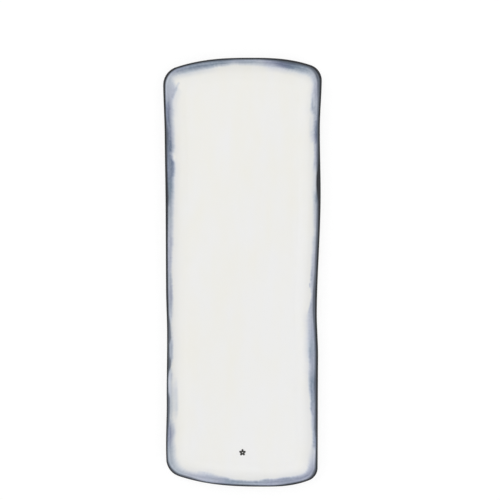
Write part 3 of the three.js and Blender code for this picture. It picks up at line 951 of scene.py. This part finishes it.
def cut(material, value, limits):
    """0 below the first limit, 1 above the second, and a straight rise between them."""
    return ramp(material, value, list(zip(limits, (grey(0), grey(1)))))


def mix(material, share, first, second, blend="MIX"):
    """Two colours blended, with the second one's share. The sockets of a mix are numbered: 0 takes the
    share, 6 and 7 take the colours, and 2 gives the blend."""
    sockets = {0: share, 6: first, 7: second}
    return add(material, "Mix", sockets, data_type="RGBA", blend_type=blend).outputs[2]


# %% Patterns on a piece
def noise(material, vector, scale, detail=2.0, roughness=0.5):
    """Noise of a size: its scale is how many blobs fit in one unit of the vector."""
    sockets = {"Vector": vector, "Scale": scale, "Detail": detail, "Roughness": roughness}
    return add(material, "TexNoise", sockets).outputs["Fac"]


def object_place(material, scale=(1, 1, 1)):
    """Object coordinates, in metres on a piece that sits at the origin, stretched by a scale."""
    place = add(material, "TexCoord").outputs["Object"]
    return add(material, "Mapping", {"Vector": place, "Scale": scale}).outputs["Vector"]


# %% A material, its shader and its piece
def blank(name):
    """An empty material and its shader."""
    material = bpy.data.materials.new(name)
    material.use_nodes = True
    return material, material.node_tree.nodes["Principled BSDF"]


def join(material, output, shader, socket):
    """Links an output to a socket of the shader."""
    material.node_tree.links.new(output, shader.inputs[socket])


def roughen(material, shader, height, strength, depth):
    """Bump from a height that varies over the surface, with its depth in metres."""
    bump = add(material, "Bump", {"Height": height, "Strength": strength, "Distance": depth})
    join(material, bump.outputs["Normal"], shader, "Normal")


def dress(piece, material):
    """Gives a piece its finish."""
    piece.data.materials.append(material)
    print(piece.name, "is finished with", material.name)


# %% White glaze
WARM_WHITE, COOL_WHITE = linear(237, 236, 230), linear(237, 237, 236)
RUNS = (60, 22, 40)  # of the glaze, in one metre across the plate, along it and upwards
COOLER_TOWARDS = (1.0, -0.5, 0.0)  # how much cooler the white gets for each metre along x, y and z
WARM_BELOW, COOL_ABOVE = 0.3, 0.7
SHEEN_BLOBS, SWELL_BLOBS = 35, 70  # in one metre
GLAZE_ROUGHNESS = (0.17, 0.27)
GLAZE_SPECULAR = 0.3
DULLED_BY_COLOUR = 0.2
SWELL_STRENGTH, SWELL_DEPTH = 0.12, 0.0006


def white_streaks(material):
    """White glaze that ran along the plate: two whites in soft broken streaks. It is a little warmer
    towards the left and the wide end: the dot product of the place and the way in which the white cools is
    added to the noise."""
    streaks = noise(material, object_place(material, RUNS), 1.0, detail=5.0)
    sockets = {0: object_place(material), 1: COOLER_TOWARDS}
    cooler_by_place = add(material, "VectorMath", sockets, operation="DOT_PRODUCT").outputs["Value"]
    coolness = math(material, "ADD", streaks, cooler_by_place)
    return ramp(material, coolness, [(WARM_BELOW, WARM_WHITE), (COOL_ABOVE, COOL_WHITE)])


def glaze_gloss(material, shader, dry=None):
    """A glass-smooth coat that isn't quite even: roughness and bump from slow noise. Where dry is 1, thick
    colour has soaked up the glaze and dulls it."""
    place = object_place(material)
    roughness = spread(material, noise(material, place, SHEEN_BLOBS), GLAZE_ROUGHNESS)
    if dry is not None:
        roughness = math(material, "ADD", roughness, math(material, "MULTIPLY", dry, DULLED_BY_COLOUR))
    join(material, roughness, shader, "Roughness")
    shader.inputs["Specular IOR Level"].default_value = GLAZE_SPECULAR
    roughen(material, shader, noise(material, place, SWELL_BLOBS), SWELL_STRENGTH, SWELL_DEPTH)


def plain_glaze(name):
    """White glaze with no paint on it."""
    material, shader = blank(name)
    join(material, white_streaks(material), shader, "Base Color")
    glaze_gloss(material, shader)
    return material


dress(glazed_base, plain_glaze("white_base_glaze"))

# %% Painted glaze
CHARCOAL, SLATE = linear(28, 31, 37), linear(78, 86, 98)
WASH_TINTS = [  # strength of the wash, and how it looks over the white
    (0.0, (236, 236, 233)), (0.15, (217, 220, 225)), (0.3, (197, 203, 214)),
    (0.5, (174, 181, 196)), (0.75, (141, 151, 171)), (1.0, (108, 120, 143)),
]
STEEL_LEAN, VIOLET_LEAN = (-4, 1, -2), (2, -1, 3)  # what a full wash gains in red, green and blue
HUE_BLOBS, POOL_BLOBS, FRAY_BLOBS = 28, 95, 420  # in one metre
HUE_LIMITS = (0.4, 0.6)  # steel below and violet above

# How thin and how thick noise makes a layer, as shares of what was painted
WASH_STREAKS, WASH_POOLS, WASH_FRAYS = (0.72, 1.28), (0.9, 1.1), (0.75, 1.25)
SLATE_STREAKS = (0.85, 1.15)

# What fraying adds to the line, and where the line then starts and is solid
LINE_FRAYS, LINE_LIMITS = (-0.15, 0.15), (0.1, 0.85)


def wash_stops(lean):
    """The ramp of the wash as a multiplier: each tint over the palest one, leaning to another hue."""
    palest = np.array(linear(*WASH_TINTS[0][1]))
    stops = []
    for place, tint in WASH_TINTS:
        share = np.array(linear(*(np.array(tint) + place * np.array(lean)))) / palest
        stops.append((place, tuple(np.clip(share, 0, 1).tolist())))
    return stops


def painted_glaze(name):
    """White glaze under the three layers of paint that a piece's points carry. Streaky noise along the
    brush's way thins and thickens each layer, and fine noise frays its edges."""
    material, shader = blank(name)
    layers = add(material, "Attribute", attribute_name="paint").outputs["Vector"]
    line, shade, wash = add(material, "SeparateXYZ", {0: layers}).outputs
    brush = add(material, "Attribute", attribute_name="brush").outputs["Vector"]
    place = object_place(material)
    streak = noise(material, brush, 1.0, detail=3.0, roughness=0.6)
    pool = noise(material, place, POOL_BLOBS)
    fray = noise(material, place, FRAY_BLOBS, detail=3.0, roughness=0.6)

    for grain, limits in ((streak, WASH_STREAKS), (pool, WASH_POOLS), (fray, WASH_FRAYS)):
        wash = math(material, "MULTIPLY", wash, spread(material, grain, limits))
    steel = ramp(material, wash, wash_stops(STEEL_LEAN))
    violet = ramp(material, wash, wash_stops(VIOLET_LEAN))
    hue = cut(material, noise(material, place, HUE_BLOBS), HUE_LIMITS)
    stain = mix(material, hue, steel, violet)
    stained = mix(material, 1.0, white_streaks(material), stain, "MULTIPLY")
    slate = math(material, "MULTIPLY", shade, spread(material, streak, SLATE_STREAKS))
    shaded = mix(material, slate, stained, SLATE)
    frayed = math(material, "ADD", line, spread(material, fray, LINE_FRAYS))
    solid = cut(material, frayed, LINE_LIMITS)
    join(material, mix(material, solid, shaded, CHARCOAL), shader, "Base Color")
    glaze_gloss(material, shader, solid)
    return material


for piece, finish in (
    (charcoal_rim, "charcoal_line_glaze"), (brushed_wash, "blue_grey_wash_glaze"),
    (glazed_face, "white_face_glaze"), (glazed_back, "white_back_glaze"),
):
    dress(piece, painted_glaze(finish))

# %% Bare clay and the charcoal of the blossom
DARK_BUFF, PALE_BUFF, IRON = linear(196, 172, 143), linear(214, 194, 168), linear(118, 92, 70)
MOTTLE_BLOBS, SPECK_BLOBS, GRIT_BLOBS = 160, 900, 1500  # in one metre
SPECK_LIMITS = (0.68, 0.74)
CLAY_ROUGHNESS = (0.75, 0.95)
GRIT_STRENGTH, GRIT_DEPTH = 0.4, 0.0002
DENSE_DAB, THIN_DAB = linear(30, 29, 27), linear(76, 75, 71)
DAB_BLOBS = 600


def bare_clay():
    """Fired buff clay: mottled, with dark iron specks, and gritty all over."""
    material, shader = blank("bare_fired_clay")
    place = object_place(material)
    mottle = noise(material, place, MOTTLE_BLOBS, detail=4.0)
    buff = ramp(material, mottle, [(0.3, DARK_BUFF), (0.7, PALE_BUFF)])
    specks = cut(material, noise(material, place, SPECK_BLOBS, detail=1.0), SPECK_LIMITS)
    join(material, mix(material, specks, buff, IRON), shader, "Base Color")
    grit = noise(material, place, GRIT_BLOBS, detail=3.0)
    join(material, spread(material, grit, CLAY_ROUGHNESS), shader, "Roughness")
    roughen(material, shader, grit, GRIT_STRENGTH, GRIT_DEPTH)
    return material


def charcoal_dab():
    """Charcoal colour put on with a fine brush: a little thinner here and there."""
    material, shader = blank("charcoal_dab")
    load = noise(material, object_place(material), DAB_BLOBS, detail=3.0)
    join(material, ramp(material, load, [(0.35, DENSE_DAB), (0.75, THIN_DAB)]), shader, "Base Color")
    glaze_gloss(material, shader)
    return material


clay = bare_clay()
dress(clay_slab, clay)
dress(clay_foot, clay)
dress(painted_blossom, charcoal_dab())

# %% [markdown]
# ## Floor, light and camera
#
# The plate lies on a white table under soft light from all round, a little stronger from above and from
# the upper left. More light would also whiten the table, but it would bleach the glaze with it. So the
# table is white to the camera by its own colour, and the lamps stay at a level at which the white glaze
# shows as it is written.

# %% White table
TABLE_HALF = 4.0  # metres
TABLE_DROP = 0.0002  # below the foot, in metres

bpy.context.scene.view_settings.view_transform = "Standard"
corners = np.array([[-1, -1], [1, -1], [1, 1], [-1, 1]]) * TABLE_HALF
table_mesh = bpy.data.meshes.new("table")
table_mesh.from_pydata([(x, y, -TABLE_DROP) for x, y in corners.tolist()], [], [(0, 1, 2, 3)])
table = bpy.data.objects.new("table", table_mesh)
bpy.context.scene.collection.objects.link(table)
print("table of", 2 * TABLE_HALF, "m each way")

# %% The table's own white
TABLE_GLOW = 0.78  # its white for the camera, even all over
TABLE_SHADED = 0.25  # how much light and shadow the camera sees on top of that
TABLE_BOUNCE = 0.8  # how much of the light on it goes back to the plate


def seen_straight(material):
    """1 for rays from the camera, a reflection or a clear body, and 0 for the light that lies on things."""
    path = add(material, "LightPath")
    seen = math(material, "MAXIMUM", path.outputs["Is Camera Ray"], path.outputs["Is Glossy Ray"])
    return math(material, "MAXIMUM", seen, path.outputs["Is Transmission Ray"])


table_white = bpy.data.materials.new("table_white")
table_white.use_nodes = True
table_white.node_tree.nodes.clear()
shaded = add(table_white, "BsdfDiffuse", {"Color": grey(TABLE_SHADED)})
glow = add(table_white, "Emission", {"Color": grey(1), "Strength": TABLE_GLOW})
pale = add(table_white, "AddShader", {0: shaded.outputs[0], 1: glow.outputs[0]})
bounce = add(table_white, "BsdfDiffuse", {"Color": grey(TABLE_BOUNCE)})
sockets = {0: seen_straight(table_white), 1: bounce.outputs[0], 2: pale.outputs[0]}
add(table_white, "OutputMaterial", {"Surface": add(table_white, "MixShader", sockets).outputs[0]})
dress(table, table_white)

# %% A dome of soft light
DOME_EDGE, DOME_TOP = 0.51, 0.78  # light from the dome at its edge and below, and from its top

world = bpy.data.worlds.new("studio")
bpy.context.scene.world = world
world.use_nodes = True
world.node_tree.nodes.clear()
direction = add(world, "TexCoord").outputs["Generated"]
up = add(world, "SeparateXYZ", {0: direction}).outputs["Z"]
dome = ramp(world, up, [(0.0, grey(DOME_EDGE)), (1.0, grey(DOME_TOP))])
lit = add(world, "Background", {"Color": dome})
seen_white = add(world, "Background", {"Color": grey(1)})
sockets = {0: seen_straight(world), 1: lit.outputs[0], 2: seen_white.outputs[0]}
add(world, "OutputWorld", {"Surface": add(world, "MixShader", sockets).outputs[0]})
print("nodes of the dome:", len(world.node_tree.nodes))

# %% Two softboxes
LAMP_SIZE = 3.4  # metres
KEY_PLACE, KEY_SHARE = (-1.4, 1.0, 3.8), 0.206
FILL_PLACE, FILL_SHARE = (1.6, -1.0, 3.8), 0.150


def softbox(name, place, share):
    """A square lamp that faces the plate. share is the part of a full white that it adds on the table: the
    power for that is the share times pi squared and the distance squared, over the height's part of the
    distance."""
    lamp = bpy.data.lights.new(name, "AREA")
    lamp.size = LAMP_SIZE
    distance = np.linalg.norm(place)
    lamp.energy = share * np.pi**2 * distance**2 / (place[2] / distance)
    box = bpy.data.objects.new(name, lamp)
    box.location = place
    heading = np.array(place) / distance
    box.rotation_euler = (np.arccos(heading[2]), 0, np.arctan2(heading[1], heading[0]) + np.pi / 2)
    bpy.context.scene.collection.objects.link(box)
    print(name, "gives", round(lamp.energy, 1), "W")


softbox("key_softbox", KEY_PLACE, KEY_SHARE)
softbox("fill_softbox", FILL_PLACE, FILL_SHARE)

# %% Camera, straight above the plate
LENS, SENSOR = 100.0, 36.0  # mm
VIEW_WIDTH = 0.4662  # what the picture takes in at the height of the lip's outermost edge, in metres
VIEW_MIDDLE = (0.0070, 0.0207)  # the place under the middle of the picture, in metres

camera_data = bpy.data.cameras.new("camera")
camera_data.lens = LENS
camera_data.sensor_width = SENSOR
camera = bpy.data.objects.new("camera", camera_data)
camera.location = (*VIEW_MIDDLE, LIP_CENTRE[1] * MM + VIEW_WIDTH * LENS / SENSOR)
bpy.context.scene.collection.objects.link(camera)
bpy.context.scene.camera = camera
print("camera height in metres:", round(camera.location.z, 4))
